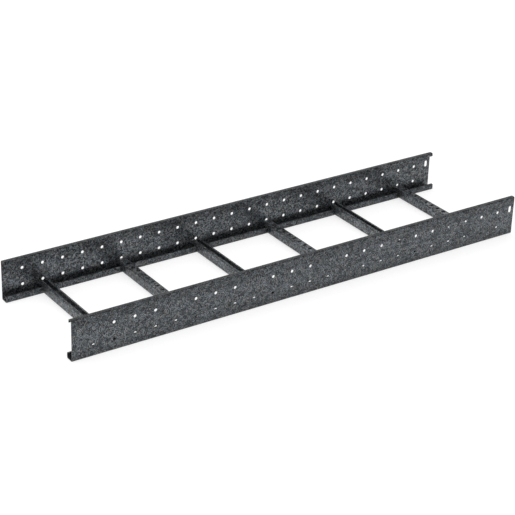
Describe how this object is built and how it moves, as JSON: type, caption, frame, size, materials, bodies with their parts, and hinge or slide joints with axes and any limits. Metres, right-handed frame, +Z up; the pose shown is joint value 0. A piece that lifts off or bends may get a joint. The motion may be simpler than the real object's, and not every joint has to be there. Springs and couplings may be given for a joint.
{
  "type": "cable ladder section",
  "caption": "Straight cable ladder section: two perforated C side rails with flanges turned in, joined by slotted C rungs that face up and down by turns.",
  "frame": {"origin": "centre of the footprint, on the floor under the ladder", "axes": "+X along the ladder from its near end to its far end, +Y across it from the front rail to the back rail, +Z up"},
  "size_m": [1.5, 0.4, 0.12],
  "materials": {
    "galvanised_rail": "hot-dip galvanised, dull dark grey with a fine spangle",
    "galvanised_rung": "hot-dip galvanised, dull grey with a fine spangle"
  },
  "bodies": {
    "root": {"side_rail_front": "galvanised_rail", "side_rail_back": "galvanised_rail", "rung_1": "galvanised_rung", "rung_2": "galvanised_rung", "rung_3": "galvanised_rung", "rung_4": "galvanised_rung", "rung_5": "galvanised_rung", "rung_6": "galvanised_rung"}
  },
  "joints": []
}
